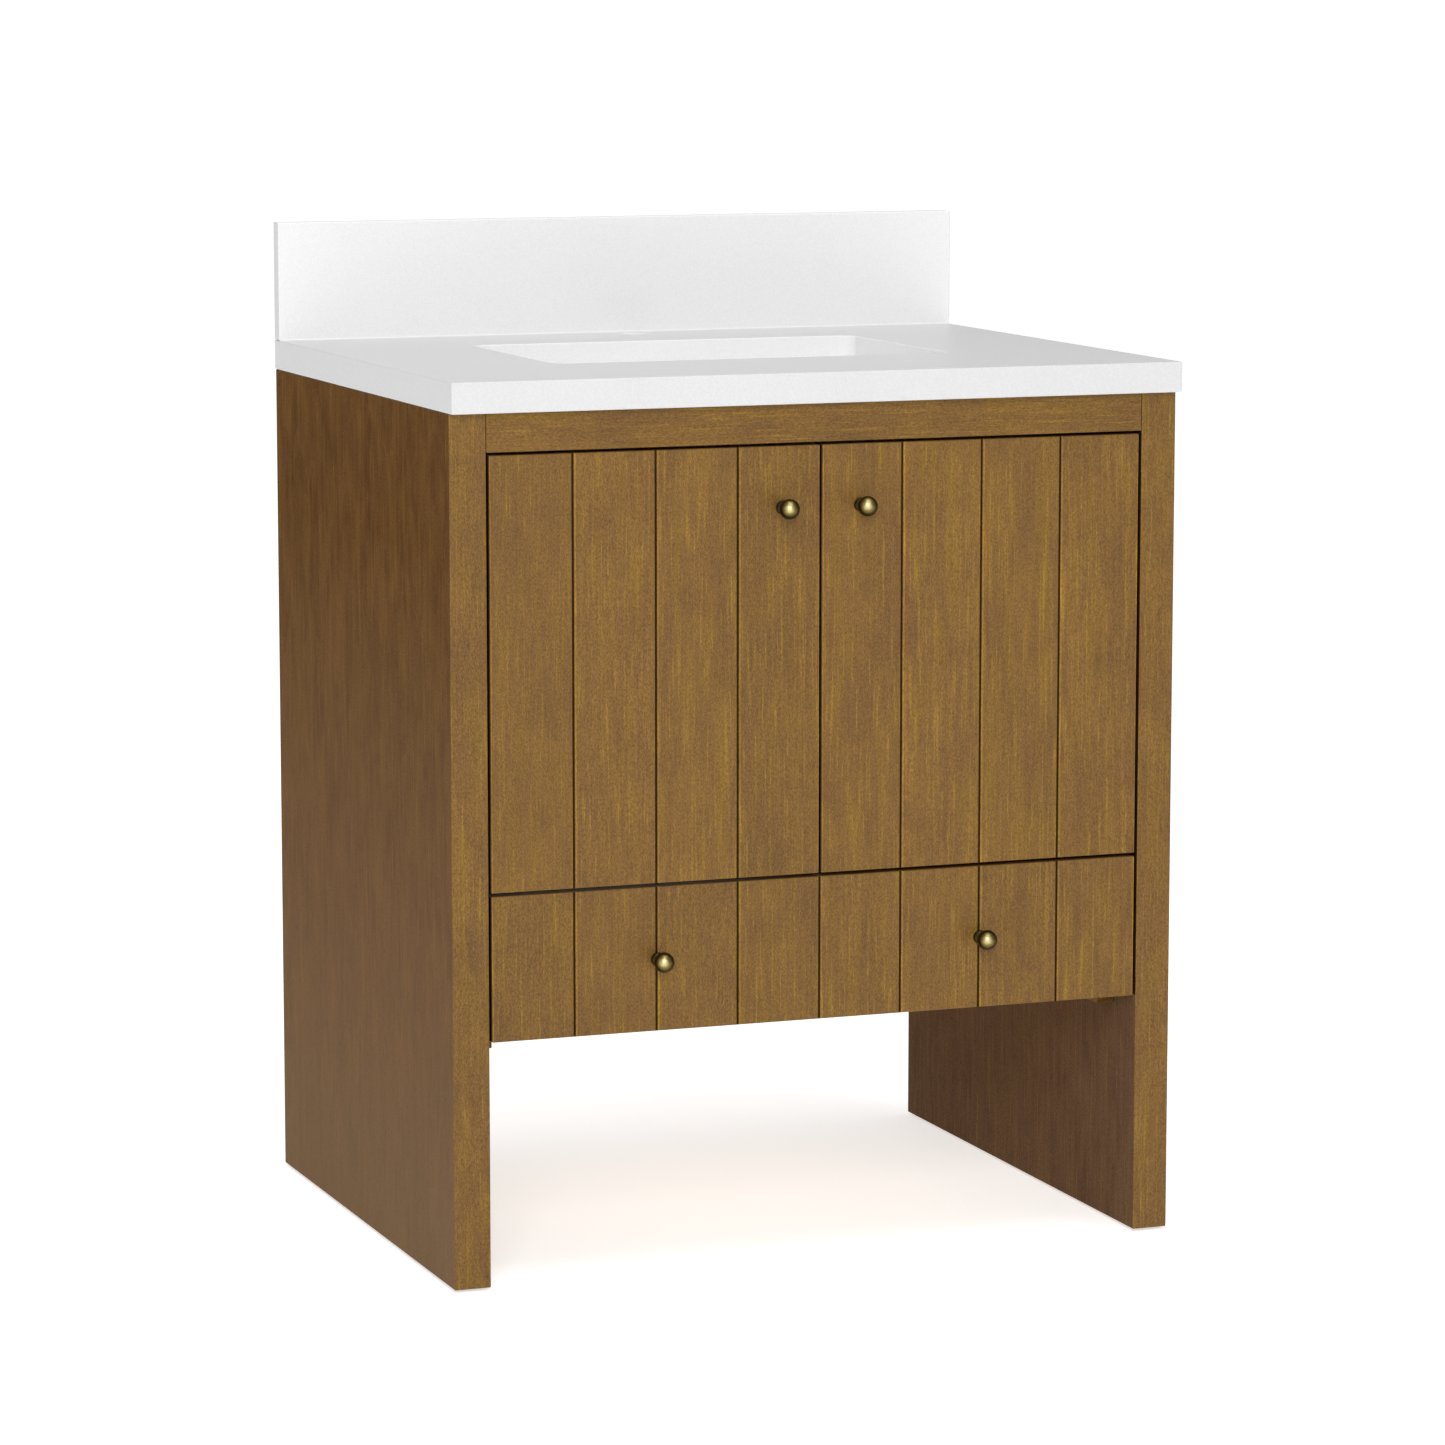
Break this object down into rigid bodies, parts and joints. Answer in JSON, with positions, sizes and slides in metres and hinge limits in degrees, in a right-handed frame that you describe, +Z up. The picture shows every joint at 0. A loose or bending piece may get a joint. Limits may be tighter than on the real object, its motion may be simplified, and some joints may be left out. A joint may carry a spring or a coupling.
{
  "type": "bathroom vanity cabinet",
  "caption": "Free-standing bathroom vanity cabinet with plank-fronted inset doors over a full-width drawer, a stone slab top with backsplash and an undermount basin.",
  "frame": {"origin": "centre of the bounding box in plan, on the floor under the glides", "axes": "+X to the right seen from the front, +Y from the front to the wall, +Z up; the doors and drawer face -Y"},
  "size_m": [0.762, 0.627, 1.0091],
  "materials": {
    "stained_wood": "warm mid-brown stain under a satin clear coat",
    "plain_ply": "clear-sealed plywood",
    "white_stone": "honed white engineered stone",
    "glazed_ceramic": "gloss white glaze",
    "aged_brass": "antique brass, darker towards the rims",
    "zinc_steel": "bright zinc plate",
    "nickel_steel": "satin nickel plate",
    "clear_pad": "clear soft pad",
    "dark_nylon": "dark nylon"
  },
  "bodies": {
    "cabinet": {"back_left_basin_clip": "zinc_steel", "back_left_glide": "dark_nylon", "back_panel": "plain_ply", "back_right_basin_clip": "zinc_steel", "back_right_glide": "dark_nylon", "backsplash": "white_stone", "basin": "glazed_ceramic", "cabinet_floor": "stained_wood", "countertop": "white_stone", "door_stop_block": "stained_wood", "front_left_basin_clip": "zinc_steel", "front_left_glide": "dark_nylon", "front_right_basin_clip": "zinc_steel", "front_right_glide": "dark_nylon", "left_lower_hinge_arm": "nickel_steel", "left_lower_hinge_plate": "nickel_steel", "left_runner_cabinet_member": "zinc_steel", "left_runner_cleat": "stained_wood", "left_side_panel": "stained_wood", "left_upper_hinge_arm": "nickel_steel", "left_upper_hinge_plate": "nickel_steel", "lower_rear_rail": "stained_wood", "right_lower_hinge_arm": "nickel_steel", "right_lower_hinge_plate": "nickel_steel", "right_runner_cabinet_member": "zinc_steel", "right_runner_cleat": "stained_wood", "right_side_panel": "stained_wood", "right_upper_hinge_arm": "nickel_steel", "right_upper_hinge_plate": "nickel_steel", "top_front_rail": "stained_wood", "top_rear_rail": "stained_wood"},
    "left_door": {"left_door": "stained_wood", "left_door_bumper": "clear_pad", "left_door_knob": "aged_brass", "left_door_knob_screw": "zinc_steel", "left_lower_hinge_cup": "nickel_steel", "left_upper_hinge_cup": "nickel_steel"},
    "right_door": {"right_door": "stained_wood", "right_door_bumper": "clear_pad", "right_door_knob": "aged_brass", "right_door_knob_screw": "zinc_steel", "right_lower_hinge_cup": "nickel_steel", "right_upper_hinge_cup": "nickel_steel"},
    "drawer": {"drawer_box_back": "plain_ply", "drawer_box_bottom": "plain_ply", "drawer_box_front": "plain_ply", "drawer_box_left_side": "plain_ply", "drawer_box_right_side": "plain_ply", "drawer_front": "stained_wood", "drawer_left_knob": "aged_brass", "drawer_left_knob_screw": "zinc_steel", "drawer_right_knob": "aged_brass", "drawer_right_knob_screw": "zinc_steel", "left_runner_drawer_member": "zinc_steel", "right_runner_drawer_member": "zinc_steel"},
    "left_runner_middle": {"left_runner_middle_member": "zinc_steel"},
    "right_runner_middle": {"right_runner_middle_member": "zinc_steel"}
  },
  "joints": [
    {"name": "left_door_hinge", "type": "hinge", "parent": "cabinet", "child": "left_door", "pos_m": [-0.3265, -0.2745, 0.6026], "axis": [0, 0, -1], "range_deg": [0, 100]},
    {"name": "right_door_hinge", "type": "hinge", "parent": "cabinet", "child": "right_door", "pos_m": [0.3265, -0.2745, 0.6026], "axis": [0, 0, 1], "range_deg": [0, 100]},
    {"name": "drawer_slide", "type": "slide", "parent": "cabinet", "child": "drawer", "axis": [0, -1, 0], "range_m": [0, 0.4]},
    {"name": "left_runner_slide", "type": "slide", "parent": "cabinet", "child": "left_runner_middle", "axis": [0, -1, 0], "range_m": [0, 0.2]},
    {"name": "right_runner_slide", "type": "slide", "parent": "cabinet", "child": "right_runner_middle", "axis": [0, -1, 0], "range_m": [0, 0.2]}
  ],
  "couplings": [
    {"joint": "left_runner_slide", "follows": "drawer_slide", "ratio": 0.5},
    {"joint": "right_runner_slide", "follows": "drawer_slide", "ratio": 0.5}
  ]
}
